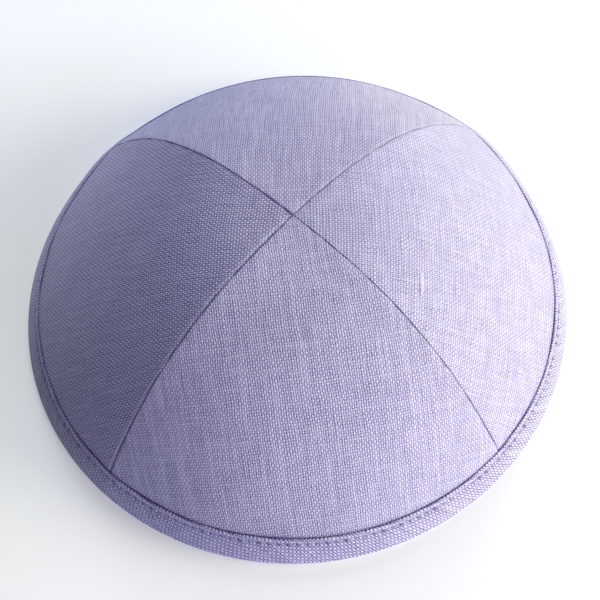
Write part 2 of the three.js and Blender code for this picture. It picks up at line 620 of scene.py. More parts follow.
class CapForm:
    """The outer surface of the cap, worked out from its sizes."""

    def __init__(self, sizes):
        self.sizes = sizes
        self.fold_radius = sizes.band_wall / 2
        self.fold_height = math.sqrt(self.fold_radius**2 - (sizes.rest_width / 2) ** 2)
        fold = np.array([sizes.rim_radius - self.fold_radius, self.fold_height])
        out_of_face = self.fold_radius * heading(math.pi / 2 - sizes.band_slope)
        up_the_slope = sizes.band_face * heading(math.pi - sizes.band_slope)
        self.mean_seam = fold + out_of_face + up_the_slope
        crown = np.array([0, sizes.cap_height])
        self.chord = np.linalg.norm(crown - self.mean_seam)
        crown_handle = crown + sizes.crown_pull * self.chord * heading(-sizes.crown_slope)
        side_handle = self.mean_seam - sizes.side_pull * self.chord * heading(-sizes.side_slope)
        self.seam_handles = (crown, crown_handle, side_handle, self.mean_seam)
        self.crown_speed = 3 * sizes.crown_pull * self.chord
        self.band_speed = 3 * sizes.side_pull * self.chord

    def panels(self):
        """The four panels between their seams, starting at the back."""
        starts = list(self.sizes.seam_azimuths)
        ends = starts[1:] + [starts[0] + 2 * math.pi]
        sides = ("back", "left", "front", "right")
        return [
            Panel(side, (start + end) / 2, (end - start) / 2)
            for side, start, end in zip(sides, starts, ends)
        ]

    def longness(self, azimuth):
        """1 at the longest way, -1 at the shortest."""
        return np.cos(2 * (azimuth - self.sizes.longest_way))

    def corner_share(self, azimuth):
        """How much of the back corners' bulge is left at each azimuth."""
        total = 0 * azimuth
        for seam, share, spread in CORNERS:
            away = (azimuth - self.sizes.seam_azimuths[seam] + math.pi) % (2 * math.pi) - math.pi
            total = total + share * np.exp(-((away / math.radians(spread)) ** 2))
        return total

    def on_seam(self, share):
        """Section points of a seam, from the crown (share 0) to the band (share 1)."""
        share = np.asarray(share)[..., None]
        rest = 1 - share
        crown, crown_handle, side_handle, seam = self.seam_handles
        return (
            crown * rest**3
            + crown_handle * 3 * rest**2 * share
            + side_handle * 3 * rest * share**2
            + seam * share**3
        )

    def reach(self, from_middle, half_angle, share):
        """How far a panel reaches between its seams, as a share of how far they reach there."""
        sizes = self.sizes
        roundness = sizes.crown_roundness + (1 - sizes.crown_roundness) * share**sizes.rounding_power
        flat = math.cos(half_angle)
        middle = flat + roundness * (1 - flat)
        arc_centre = (middle**2 - 1) / (2 * (middle - flat))
        arc_radius = middle - arc_centre
        across = arc_centre * np.sin(from_middle)
        return arc_centre * np.cos(from_middle) + np.sqrt(arc_radius**2 - across**2)

    def outside(self, panel, azimuth, share):
        """Section points of a panel's outside."""
        on_seam = self.on_seam(share)
        reach = self.reach(azimuth - panel.middle, panel.half_angle, share)
        spread = self.longness(azimuth) * share**2
        bulge = self.sizes.corner_seam_bulge * self.corner_share(azimuth) * share**CORNER_POWER
        stretch = 1 + (self.sizes.out_of_round * spread + bulge) / self.mean_seam[0]
        away = on_seam[..., 0] * reach * stretch
        return np.stack([away, on_seam[..., 1] + self.sizes.seam_wave * spread], -1)

    def place(self, panel, azimuth, share, lift):
        """Points lifted off a panel's outside, within their upright sections."""

        def surface(angle, way):
            return in_space(angle, self.outside(panel, angle, way))

        below = self.outside(panel, azimuth, share + SMALL_STEP)
        above = self.outside(panel, azimuth, share - SMALL_STEP)
        down = unit(below - above)
        outward = np.stack([-down[..., 1], down[..., 0]], -1)
        round_the_cap = surface(azimuth + SMALL_STEP, share) - surface(azimuth - SMALL_STEP, share)
        square = unit(np.cross(in_space(azimuth, down), round_the_cap))
        slant = np.sum(square * in_space(azimuth, outward), -1)
        lifted = self.outside(panel, azimuth, share) + outward * (lift / slant)[..., None]
        return in_space(azimuth, lifted)

    def band_face(self, azimuth):
        """The seam point, the ways out of and up the band's face, and the face's width."""
        sizes = self.sizes
        longness = self.longness(azimuth)
        corner = self.corner_share(azimuth)
        fold_out = sizes.out_of_round * longness + sizes.corner_bulge * corner
        fold_away = sizes.rim_radius - self.fold_radius + fold_out
        fold = np.stack([fold_away, self.fold_height + 0 * fold_out], -1)
        seam_out = sizes.out_of_round * longness + sizes.corner_seam_bulge * corner
        seam = self.mean_seam + np.stack([seam_out, sizes.seam_wave * longness], -1)
        to_seam = seam - fold
        length = np.linalg.norm(to_seam, axis=-1)
        slope = np.arctan2(to_seam[..., 1], to_seam[..., 0]) - np.arccos(self.fold_radius / length)
        width = np.sqrt(length**2 - self.fold_radius**2)
        return seam, heading(slope), heading(slope + math.pi / 2), width


# Meshes


def grid_faces(rows, columns, start, turned=False):
    """The four-sided faces of a grid of corners that are numbered row by row."""
    row, column = np.meshgrid(np.arange(rows - 1), np.arange(columns - 1), indexing="ij")
    corner = (start + row * columns + column).ravel()
    faces = np.stack([corner, corner + columns, corner + columns + 1, corner + 1], -1)
    return faces[:, ::-1] if turned else faces


def edge_of(rows, columns):
    """The corners round a grid, in order."""
    number = np.arange(rows * columns).reshape(rows, columns)
    return np.concatenate([number[:-1, 0], number[-1, :-1], number[:0:-1, -1], number[0, :0:-1]])


def new_piece(name, points, faces, material):
    """A smooth mesh object, with its place in its mesh."""
    mesh = bpy.data.meshes.new(name)
    mesh.from_pydata(points.tolist(), [], faces)
    mesh.shade_smooth()
    mesh.materials.append(material)
    piece = bpy.data.objects.new(name, mesh)
    bpy.context.scene.collection.objects.link(piece)
    return piece


def mark_cloth(piece, cloth_places, painted_light_values):
    """Keeps where each face corner lies in the flat cloth, and each point's painted light: shade from 0 to
    1 in seams, needle holes and under the band's lip, and a highlight below 0 on pressed edges.
    """
    layer = piece.data.uv_layers.new(name=CLOTH_MAP)
    layer.data.foreach_set("uv", np.asarray(cloth_places, np.float32).ravel())
    attribute = piece.data.attributes.new(PAINTED_LIGHT_ATTRIBUTE, "FLOAT", "POINT")
    attribute.data.foreach_set("value", np.asarray(painted_light_values, np.float32).ravel())


# Panels


def edge_drop(distance, roll):
    """How far the cloth has turned down at a distance from its rolled edge."""
    inside = np.clip(1 - distance / roll, 0, 1)
    return roll * (1 - np.sqrt(1 - inside**2))


def soft_waves(points, height, seed):
    """Faint waves of a few chosen lengths over the whole cap."""
    chance = np.random.default_rng(seed)
    total = np.zeros(points.shape[:-1])
    for length in (21 * MM, 27 * MM, 34 * MM, 46 * MM):
        way = heading(chance.uniform(0, math.pi))
        start = chance.uniform(0, 2 * math.pi)
        total += np.sin(points[..., :2] @ way * 2 * math.pi / length + start)
    return total * height / 2


def gathers(along, from_seam, height, chance):
    """Small gathers that fade with the distance from a seam."""
    first, second = chance.uniform(0, 2 * math.pi, 2)
    wave = np.sin(along * 2 * math.pi / (9.1 * MM) + first)
    wave += 0.6 * np.sin(along * 2 * math.pi / (5.3 * MM) + second)
    return height * wave * np.exp(-from_seam / (3.5 * MM))


class PanelGrid:
    """The grid of one panel, finest along its edges."""

    def __init__(self, form, panel, sewing):
        self.form = form
        self.panel = panel
        turns = np.linspace(0, math.pi / 2, ROLL_STEPS)
        rolled = sewing.seam_roll * (1 - np.cos(turns)) + sewing.seam_gap / 2
        beside = np.geomspace(sewing.seam_roll, sewing.allowance_width, BESIDE_SEAM_STEPS)[1:]
        allowance_edge = sewing.allowance_width + np.array([1, 2]) * ALLOWANCE_STEP
        near_seam = np.concatenate([rolled, beside, allowance_edge])
        near_band = np.concatenate([rolled, np.geomspace(0.5, 2.6, 5) * MM]) / form.band_speed

        first = 0.06 * MM / form.crown_speed
        tip_end = 1.5 * MM / form.crown_speed
        tip = np.geomspace(first, tip_end, TIP_ROWS)[:-1]
        middle = np.linspace(tip_end, 1 - near_band[-1], BODY_ROWS)[:-1]
        share = np.concatenate([tip, middle, 1 - near_band[::-1]])

        half = panel.half_angle
        seam_away = form.on_seam(share)[:, :1]
        self.half_width = seam_away * math.sin(half)
        shrink = np.minimum(1, self.half_width / (1.3 * near_seam[-1]))
        inset = np.arcsin(shrink * near_seam / seam_away)
        between = np.linspace(-1, 1, BODY_COLUMNS + 2)[1:-1] * (half - inset[:, -1:])
        from_middle = np.concatenate([inset - half, between, half - inset[:, ::-1]], 1)
        self.azimuth = panel.middle + from_middle
        self.share = share[:, None] + 0 * self.azimuth
        away = form.outside(panel, self.azimuth, self.share)[..., 0]
        self.from_seam = away * np.sin(half - np.abs(from_middle))
        self.from_band = (1 - self.share) * form.band_speed
        self.across = from_middle / half

    def skins(self, sewing, number):
        """The points of the panel's outside and inside."""
        chance = np.random.default_rng(sewing.seed + number)
        resting = self.form.place(self.panel, self.azimuth, self.share, 0 * self.share)
        waves = soft_waves(resting, sewing.softness, sewing.seed)
        roll = sewing.seam_roll * np.minimum(1, self.half_width / (2.5 * sewing.seam_roll))
        fade = eased(0, 4 * MM, self.half_width)
        along = self.share * self.form.chord
        first_side = gathers(along, self.from_seam, sewing.pucker, chance)
        second_side = gathers(along, self.from_seam, sewing.pucker, chance)
        gathered = np.where(self.across < 0, first_side, second_side) * fade
        width = sewing.allowance_width
        swell = sewing.allowance_swell * (1 - eased(0.3 * width, width, self.from_seam)) * fade
        outer_lift = waves + gathered + swell
        outer_lift -= edge_drop(self.from_seam, roll)
        outer_lift -= edge_drop(self.from_band, sewing.seam_roll)
        under = sewing.allowance_rise * (1 - eased(width, width + ALLOWANCE_STEP, self.from_seam))
        inner_lift = waves - self.form.sizes.panel_wall - under
        place = self.form.place
        outer = place(self.panel, self.azimuth, self.share, outer_lift)
        inner = place(self.panel, self.azimuth, self.share, inner_lift)
        return outer, inner

    def painted_light_values(self, sewing, number):
        """Painted shade, from 0 to 1, deepest in the seams and along the band, and painted highlight, below
        0, on a pressed edge beside a seam.
        """
        shade_width = np.zeros_like(self.share)
        paleness = np.zeros_like(self.share)
        for side, seam in ((self.across < 0, number), (self.across >= 0, (number + 1) % 4)):
            chance = np.random.default_rng(sewing.seed + 10 * seam)
            first, second, third = chance.uniform(0, 2 * math.pi, 3)
            drift = 0.22 * np.sin(self.share * 17 + first) + 0.2 * np.sin(self.share * 39 + second)
            drift += 0.16 * np.sin(self.share * 95 + third)
            shade_width += np.where(side, sewing.seam_line_shades[seam] * (1 + drift), 0)
            # The painted highlight lies on the side of the seam that the sign of its strength picks.
            shown = sewing.highlight_strengths[seam] * (-1 if seam == number else 1)
            paleness += np.where(side, max(0, shown) * (1 + drift), 0)
        # Painted shade in the seams, wider towards the crown where the panels narrow, and along the band.
        shade_width *= 1 + 1.5 * np.exp(-self.half_width / (0.7 * MM))
        seam_shade_share = np.exp(-self.from_seam / (0.15 * MM * shade_width)) * np.minimum(1, shade_width + 0.1)
        band_edge_shade = np.exp(-self.from_band / (0.36 * MM))
        # A painted highlight runs along each pressed edge, a little way from its seam.
        strip = np.exp(-(((self.from_seam - HIGHLIGHT_STRIP_WAY) / HIGHLIGHT_STRIP_REACH) ** 2))
        return np.clip(seam_shade_share + band_edge_shade - paleness * strip, -1, 1)


def laid_flat(points):
    """Lays a grid of points flat, keeping the lengths of its sides and diagonals."""
    every, near, far = slice(None), slice(None, -1), slice(1, None)
    pairs = (
        ((every, near), (every, far)),
        ((near, every), (far, every)),
        ((near, near), (far, far)),
        ((near, far), (far, near)),
    )
    springs = []
    for one, other in pairs:
        length = np.linalg.norm(points[other] - points[one], axis=-1, keepdims=True)
        springs.append((one, other, length))
    rows, columns = points.shape[:2]
    across = np.cumsum(np.linalg.norm(np.diff(points, axis=1), axis=-1), 1)
    across = np.concatenate([np.zeros((rows, 1)), across], 1)
    across -= across[:, columns // 2, None]
    middle = np.linalg.norm(np.diff(points[:, columns // 2], axis=0), axis=-1)
    along = np.concatenate([[0], np.cumsum(middle)])[:, None] + 0 * across
    flat = np.stack([across, along], -1)
    for _ in range(PATTERN_ROUNDS):
        move = np.zeros_like(flat)
        for one, other, length in springs:
            gap = flat[other] - flat[one]
            pull = gap * (1 - length / np.linalg.norm(gap, axis=-1, keepdims=True))
            move[one] += pull
            move[other] -= pull
        flat += 0.12 * move
    return flat - flat[:, columns // 2, None].mean(0, keepdims=True) * [1, 0]


class Pattern:
    """The flat piece of cloth that a panel is cut from, as far as its seams."""

    def __init__(self, form, panel):
        share = np.linspace(0.02, 1, PATTERN_POINTS)[:, None]
        across = np.linspace(-1, 1, PATTERN_POINTS)[None]
        azimuth = panel.middle + across * panel.half_angle + 0 * share
        share = share + 0 * across
        points = form.place(panel, azimuth, share, 0 * share)
        self.flat = laid_flat(points)
        terms = self.terms(across + 0 * share, share)
        flat = self.flat.reshape(-1, 2)
        self.weights = np.linalg.lstsq(terms.reshape(len(flat), -1), flat, rcond=None)[0]

    @staticmethod
    def terms(across, share):
        """The smooth functions that the flat places are made of."""
        degrees = [PATTERN_DEGREE, PATTERN_DEGREE]
        return np.polynomial.chebyshev.chebvander2d(across, 2 * share - 1, degrees)

    def lies_at(self, across, share):
        """Where points of the panel lie in the flat cloth."""
        return self.terms(across, share) @ self.weights

    def place_of(self, flat):
        """Where points of the flat cloth lie on the panel, as across and share."""
        place = np.zeros(flat.shape) + [0, 0.5]
        for _ in range(PLACE_ROUNDS):
            here = self.lies_at(place[..., 0], place[..., 1])
            by_across = self.lies_at(place[..., 0] + SMALL_STEP, place[..., 1]) - here
            by_share = self.lies_at(place[..., 0], place[..., 1] + SMALL_STEP) - here
            slopes = np.stack([by_across, by_share], -1) / SMALL_STEP
            place += np.linalg.solve(slopes, (flat - here)[..., None])[..., 0]
        return place

    def size(self):
        """Width and length of the flat piece."""
        return tuple(self.flat.reshape(-1, 2).max(0) - self.flat.reshape(-1, 2).min(0))

    def area(self):
        """Area of the flat piece."""
        first = self.flat[1:, 1:] - self.flat[:-1, :-1]
        second = self.flat[1:, :-1] - self.flat[:-1, 1:]
        return float(np.abs(np.cross(first, second)).sum() / 2)


def make_panel(form, panel, number, sewing, finish, material):
    """One panel: a closed shell of cloth that is rolled down into its seams."""
    grid = PanelGrid(form, panel, sewing)
    pattern = Pattern(form, panel)
    outer, inner = grid.skins(sewing, number)
    rows, columns = outer.shape[:2]
    count = rows * columns
    points = np.concatenate([outer.reshape(-1, 3), inner.reshape(-1, 3)])
    rim = edge_of(rows, columns)
    after = np.roll(rim, -1)
    wall = np.stack([rim, rim + count, after + count, after], -1)
    faces = np.concatenate([
        grid_faces(rows, columns, 0),
        grid_faces(rows, columns, count, turned=True),
        wall[:, ::-1],
    ])
    flat = pattern.lies_at(grid.across, grid.share).reshape(-1, 2)
    # Each panel is cut from another part of the cloth, and not quite straight to its yarns.
    turn = Matrix.Rotation(finish.panel_turns[number], 2)
    flat = np.tile(flat @ np.array(turn) + [number * 0.4, number * 0.3], (2, 1))
    piece = new_piece(f"panel_{panel.side}_cloth", points, faces.tolist(), material)
    mark_cloth(piece, flat[faces], np.tile(grid.painted_light_values(sewing, number).ravel(), 2))
    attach(piece, BODY)
    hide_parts(f"panel_{panel.side}")
    pattern.size()
    pattern.area()
    return piece


# Band


class BandSection:
    """The line of the band's cloth, from one turned-in edge round the fold to the other.

    Points are (distance down the face from the seam line, distance out of the face).
    """

    def __init__(self, form, sewing):
        self.form = form
        self.sewing = sewing
        middle_radius = form.mean_seam[0] + sewing.stitch_line * math.cos(form.sizes.band_slope)
        self.stitches = round(2 * math.pi * middle_radius / sewing.stitch_length)
        self.half = sewing.band_layer / 2

    def from_hole(self, azimuth):
        """Signed distance along the row from the nearest needle hole."""
        phase = azimuth / (2 * math.pi) * self.stitches
        return (phase - np.round(phase)) * self.sewing.stitch_length

    def row_marks(self, azimuth, down, width):
        """Shares of a needle hole, of the row's groove and of the swell below it at each place."""
        below_row = down - self.sewing.stitch_line
        hole = np.exp(-((self.from_hole(azimuth) / HOLE_REACH) ** 2))
        groove = np.exp(-((below_row / GROOVE_REACH) ** 2))
        below = np.clip(below_row / (width - self.sewing.stitch_line), 0, 1)
        return hole, groove, np.sin(math.pi * below) ** 2

    def outer_height(self, azimuth, down, width):
        """Height of the outer surface above the plain face."""
        sewing = self.sewing
        line = sewing.stitch_line
        hole, groove, below = self.row_marks(azimuth, down, width)
        ridge = sewing.lip_rise * (1 - eased(line - 1.4 * MM, line + 0.3 * MM, down))
        twist = np.sin(azimuth * 61 + down * 900) + np.sin(azimuth * 37 - down * 500 + 1)
        swell = 0.22 * MM * below * (1 + 0.22 * twist)
        return ridge + swell - groove * (sewing.stitch_sink + sewing.hole_sink * hole)

    def inner_height(self, azimuth, down, width):
        """Height of the inner surface above the plain inner face, into the cap."""
        line = self.sewing.stitch_line
        hole, groove, below = self.row_marks(azimuth, down, width)
        ridge = 0.25 * MM * (1 - eased(line - 1.0 * MM, line - 0.1 * MM, down))
        swell = 0.12 * MM * below
        return ridge + swell - groove * (0.1 * MM + 0.15 * MM * hole)

    def cloth_line(self, azimuth):
        """The middle of the cloth at each azimuth."""
        form, sewing, half = self.form, self.sewing, self.half
        width = form.band_face(azimuth)[3]
        wobble = 0.03 * MM * (2 + np.sin(azimuth * 23) + np.sin(azimuth * 41 + 2))
        roll = sewing.lip_roll
        lip = roll + half + wobble
        lip_height = sewing.lip_rise - half - roll
        line = []

        def add(down, out):
            line.append(np.stack([down + 0 * azimuth, out + 0 * azimuth], -1))

        add(lip + sewing.turned_in, lip_height - roll)
        add(lip + sewing.turned_in / 2, lip_height - roll)
        for angle in np.linspace(-math.pi / 2, -1.5 * math.pi, 7)[:-1]:
            add(lip + roll * math.cos(angle), lip_height + roll * math.sin(angle))
        face = np.concatenate([np.linspace(0, 0.3, 8)[:-1], np.linspace(0.3, 1, 7)])
        for share in face:
            down = lip + (width - lip) * share
            add(down, self.outer_height(azimuth, down, width) - half)
        fold = form.fold_radius - half
        for angle in np.linspace(math.pi / 2, -math.pi / 2, 9)[1:-1]:
            add(width + fold * math.cos(angle), fold * math.sin(angle) - form.fold_radius)
        inner_roll = 0.8 * roll
        inner_lip = 0.1 * MM + 0 * azimuth
        inner_lip_height = -form.sizes.panel_wall - 0.05 * MM - half - inner_roll
        for share in np.linspace(1, 0, 8):
            down = inner_lip + (width - inner_lip) * share
            height = self.inner_height(azimuth, down, width)
            add(down, half - 2 * form.fold_radius - height)
        for angle in np.linspace(-math.pi / 2, -1.5 * math.pi, 6)[1:]:
            add(inner_lip + inner_roll * math.cos(angle), inner_lip_height + inner_roll * math.sin(angle))
        add(inner_lip + sewing.turned_in, inner_lip_height + inner_roll)
        return np.stack(line, 1)

    def in_space(self, azimuth, points):
        """Points of the section at each azimuth, in space."""
        seam, out, up, _ = self.form.band_face(azimuth)
        section = seam[:, None] - up[:, None] * points[..., :1] + out[:, None] * points[..., 1:]
        return in_space(azimuth[:, None], section)


def make_band(form, sewing, finish, material):
    """The band: one strip of cloth, turned in at both edges and folded under the rim."""
    section = BandSection(form, sewing)
    steps = section.stitches * STEPS_A_STITCH
    azimuth = np.arange(steps) * 2 * math.pi / steps
    line = section.cloth_line(azimuth)
    ahead = np.concatenate([line[:, 1:], line[:, -1:]], 1)
    behind = np.concatenate([line[:, :1], line[:, :-1]], 1)
    along = unit(ahead - behind)
    out = np.stack([-along[..., 1], along[..., 0]], -1)
    shown = section.in_space(azimuth, line + out * section.half)
    hidden = section.in_space(azimuth, line - out * section.half)
    shown[..., 2] = np.maximum(shown[..., 2], 0)
    hidden[..., 2] = np.maximum(hidden[..., 2], 0.8 * sewing.band_layer)
    last = line.shape[1] - 1
    picked = np.unique(np.append(np.arange(0, last, HIDDEN_SIDE_STRIDE), last))[::-1]
    points = np.concatenate([shown, hidden[:, picked]], 1)
    count = points.shape[1]

    step, place = np.meshgrid(np.arange(steps), np.arange(count), indexing="ij")
    corner_steps = np.stack([step, step + 1, step + 1, step], -1).reshape(-1, 4)
    corner_places = np.stack([place, place, place + 1, place + 1], -1).reshape(-1, 4) % count
    faces = (corner_steps % steps) * count + corner_places

    # The yarns of both directions come round whole and even, so that the weave meets itself.
    lengths = np.linalg.norm(np.diff(line, axis=1), axis=-1).mean(0)
    way = np.concatenate([[0], np.cumsum(lengths)])
    way = np.concatenate([way, way[picked]])
    flat_length = 2 * math.pi * (form.mean_seam[0] + form.sizes.rim_radius) / 2
    turned = heading(finish.band_bias)
    round_the_cap = [
        2 * round(flat_length * share / pitch / 2) * pitch
        for share, pitch in zip(turned, finish.band_pitches)
    ]
    turns = corner_steps / steps
    over = way[corner_places]
    flat = np.stack([
        turns * round_the_cap[0] - over * turned[1],
        turns * round_the_cap[1] + over * turned[0],
    ], -1)
    piece = new_piece("rim_band_cloth", points.reshape(-1, 3), faces[:, ::-1].tolist(), material)
    mark_cloth(piece, flat[:, ::-1], band_painted_shade(section, azimuth, line, picked))
    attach(piece, BODY)
    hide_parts("rim_band")
    return piece


def band_painted_shade(section, azimuth, line, picked):
    """How much painted shade each point of the band takes, deepest under its lip or in a needle hole."""
    sewing = section.sewing
    down, out = line[..., 0], line[..., 1]
    lip_height = sewing.lip_rise - section.half - sewing.lip_roll
    # Painted shade under the band's upper lip.
    lip_shade = (1 - eased(0, 0.32 * MM, out - lip_height)) * (down < 1 * MM)
    # Painted shade fills each needle hole, which the thread draws out into a slanting slit, some of them
    # more open and darker.
    below_row = down - sewing.stitch_line
    from_hole = section.from_hole(azimuth)[:, None]
    along_slit = from_hole * math.cos(SLIT_TURN) + below_row * math.sin(SLIT_TURN)
    beside_slit = from_hole * math.sin(SLIT_TURN) - below_row * math.cos(SLIT_TURN)
    chance = np.random.default_rng(sewing.seed)
    number = np.round(azimuth / (2 * math.pi) * section.stitches).astype(int) % section.stitches
    slit_darkness = (chance.uniform(0.6, 1.3, section.stitches) ** 2)[number][:, None]
    needle_shade = np.exp(-((beside_slit / SLIT_WIDTH) ** 2) - (along_slit / SLIT_LENGTH) ** 2)
    painted_light_values = np.clip(lip_shade + slit_darkness * needle_shade, 0, 1)
    return np.concatenate([painted_light_values, painted_light_values[:, picked]], 1)


# Node trees


class Wire:
    """A node's output, on which sums and products are written as plain expressions."""

    def __init__(self, network, socket):
        self.network = network
        self.socket = socket

    def __add__(self, other):
        return self.network.math("ADD", self, other)

    __radd__ = __add__

    def __mul__(self, other):
        return self.network.math("MULTIPLY", self, other)

    __rmul__ = __mul__

    def __sub__(self, other):
        return self.network.math("SUBTRACT", self, other)

    def __rsub__(self, other):
        return self.network.math("SUBTRACT", other, self)

    def __truediv__(self, other):
        return self.network.math("DIVIDE", self, other)

    def __rtruediv__(self, other):
        return self.network.math("DIVIDE", other, self)

    def __gt__(self, other):
        return self.network.math("GREATER_THAN", self, other)


class Network:
    """A node tree that is filled by expressions."""

    def __init__(self, tree):
        self.tree = tree
        tree.nodes.clear()

    def add(self, kind, settings=None, sockets=None, output=0):
        """Adds a node, makes its settings, fills its sockets, and returns one of its outputs."""
        node = self.tree.nodes.new(kind)
        for name, value in (settings or {}).items():
            setattr(node, name, value)
        for name, value in (sockets or {}).items():
            self.fill(self.find(node.inputs, name), value)
        return Wire(self, self.find(node.outputs, output)) if node.outputs else None

    def fill(self, socket, value):
        """Gives an input a value or a link."""
        if isinstance(value, Wire):
            self.tree.links.new(value.socket, socket)
        else:
            socket.default_value = value

    @staticmethod
    def find(sockets, name):
        """The socket of a number, or the first one in use that has a name."""
        if isinstance(name, int):
            return sockets[name]
        return next(socket for socket in sockets if socket.enabled and socket.name == name)

    def math(self, operation, *values):
        """A Math node on values."""
        return self.add("ShaderNodeMath", {"operation": operation}, dict(enumerate(values)))


def eased_wire(network, value, low, high):
    """A soft change from 0 to 1 as a value goes from low to high."""
    sockets = {"Value": value, "From Min": low, "From Max": high}
    return network.add("ShaderNodeMapRange", {"interpolation_type": "SMOOTHSTEP"}, sockets)


def mixed_colour(network, share, first, second):
    """One colour where the share is 0 and the other where it is 1."""
    sockets = {"Factor": share, "A": first, "B": second}
    return network.add("ShaderNodeMix", {"data_type": "RGBA"}, sockets, "Result")


class Yarns:
    """One of a weave's two sets of yarns, in a shader.

    own counts across these yarns and other counts across the yarns that they cross. along is the
    way along them in metres, and side is 1 for one set and -1 for the other. A higher slub_start
    makes thick places rarer, and slubs is how marked they are.
    """

    def __init__(self, network, own, other, along, side, slub_start, slubs):
        self.network = network
        number = network.math("ROUND", own)
        self.tone = self.varying(number, along / (9 * MM), 13.7 + side, 4)
        thickness = self.varying(number, along / (30 * MM), 5.3 + side, 0)
        self.slub = eased_wire(network, thickness, slub_start, slub_start + 0.14) * slubs
        thin = 0.5 - self.tone
        off = own - number + thin * 0.5
        over = network.math("COSINE", number * math.pi) * network.math("COSINE", other * math.pi)
        narrowness = 3.4 + thin * 1.5 - self.slub
        middle = 0.5 + 0.08 * side
        self.height = over * (0.5 * side) + middle - off * off * narrowness + 0.12 * self.slub - thin * 0.35

    def varying(self, number, along, spread, detail):
        """A value that differs from yarn to yarn and drifts along each."""
        place = self.network.add("ShaderNodeCombineXYZ", None, {"X": number * spread, "Y": along})
        sockets = {"Vector": place, "Scale": 1.0, "Detail": detail}
        return self.network.add("ShaderNodeTexNoise", {"noise_dimensions": "2D"}, sockets)


def linen(name, finish, pitches, difference, shade_width, slubs):
    """Plain-woven linen with uneven yarns, from the piece's own cloth map.

    pitches are the ways between its long and between its cross yarns, and difference is how much
    paler the long ones are. shade_width is how wide the painted shade in the holes between the
    yarns is, and slubs how marked the thick places are.
    """
    material = bpy.data.materials.new(name)
    material.use_nodes = True
    network = Network(material.node_tree)
    cloth = network.add("ShaderNodeUVMap", {"uv_map": CLOTH_MAP})
    where = network.add("ShaderNodeTexCoord", None, None, "Object")
    drift = network.add("ShaderNodeTexNoise", None, {"Vector": where, "Scale": 110, "Detail": 1}, 1)
    parts = {"cloth": cloth, "drift": drift}
    split = {}
    for part, wire in parts.items():
        for axis in "XY":
            split[part + axis] = network.add("ShaderNodeSeparateXYZ", None, {0: wire}, axis)
    wander = 0.9 * MM
    x = split["clothX"] + (split["driftX"] - 0.5) * wander
    y = split["clothY"] + (split["driftY"] - 0.5) * wander
    long_count = x / pitches[0]
    cross_count = y / pitches[1]
    long_yarns = Yarns(network, long_count, cross_count, y, side=1, slub_start=0.61, slubs=slubs)
    cross_yarns = Yarns(network, cross_count, long_count, x, side=-1, slub_start=0.77, slubs=slubs)
    height = network.math("MAXIMUM", long_yarns.height, cross_yarns.height)
    on_top = long_yarns.height > cross_yarns.height
    tone = cross_yarns.tone + (long_yarns.tone - cross_yarns.tone) * on_top
    slub = cross_yarns.slub + (long_yarns.slub - cross_yarns.slub) * on_top
    paleness = (tone - 0.5) * finish.unevenness + 0.45 + slub * finish.slub_paleness
    paleness = paleness + (on_top - 0.5) * difference
    yarn = mixed_colour(network, paleness, finish.deep_yarn, finish.pale_yarn)
    shade_and_highlight = network.add("ShaderNodeAttribute", {"attribute_name": PAINTED_LIGHT_ATTRIBUTE}, None, "Fac")
    # Painted shade between the yarns, where the weave is low.
    yarn_unshaded = eased_wire(network, height, shade_width - 0.15, shade_width + 0.5)
    woven = mixed_colour(network, yarn_unshaded, finish.weave_hole_shade, yarn)
    # Below 0 the value paints a highlight on a pressed edge, palest on top of its yarns, and above 0 it
    # paints shade in seams, needle holes and under the band's lip.
    highlight_share = shade_and_highlight * (yarn_unshaded * -0.5 - 0.6)
    pressed = mixed_colour(network, highlight_share, woven, finish.edge_highlight)
    colour = mixed_colour(network, shade_and_highlight, pressed, finish.seam_and_hole_shade)
    sockets = {"Strength": 1, "Distance": finish.relief, "Height": height}
    bump = network.add("ShaderNodeBump", None, sockets)
    shader = network.add(
        "ShaderNodeBsdfPrincipled",
        None,
        {
            "Base Color": colour,
            "Roughness": 0.92,
            "Specular IOR Level": 0.2,
            "Sheen Weight": finish.sheen,
            "Sheen Roughness": 0.5,
            "Normal": bump,
        },
    )
    network.add("ShaderNodeOutputMaterial", None, {"Surface": shader})
    return material


def spun_fibre(name, finish, pale):
    """Softly spun fibre of one colour."""
    material = bpy.data.materials.new(name)
    material.use_nodes = True
    network = Network(material.node_tree)
    where = network.add("ShaderNodeTexCoord", None, None, "Object")
    fibres = network.add("ShaderNodeTexNoise", None, {"Vector": where, "Scale": 2600, "Detail": 2})
    deep = [0.75 * value for value in pale[:3]] + [1]
    colour = mixed_colour(network, eased_wire(network, fibres, 0.3, 0.7), deep, pale)
    bump = network.add("ShaderNodeBump", None, {"Distance": 0.05 * MM, "Height": fibres})
    sockets = {"Base Color": colour, "Roughness": 0.7, "Sheen Weight": finish.sheen, "Normal": bump}
    shader = network.add("ShaderNodeBsdfPrincipled", None, sockets)
    network.add("ShaderNodeOutputMaterial", None, {"Surface": shader})
    return material


# Stitches


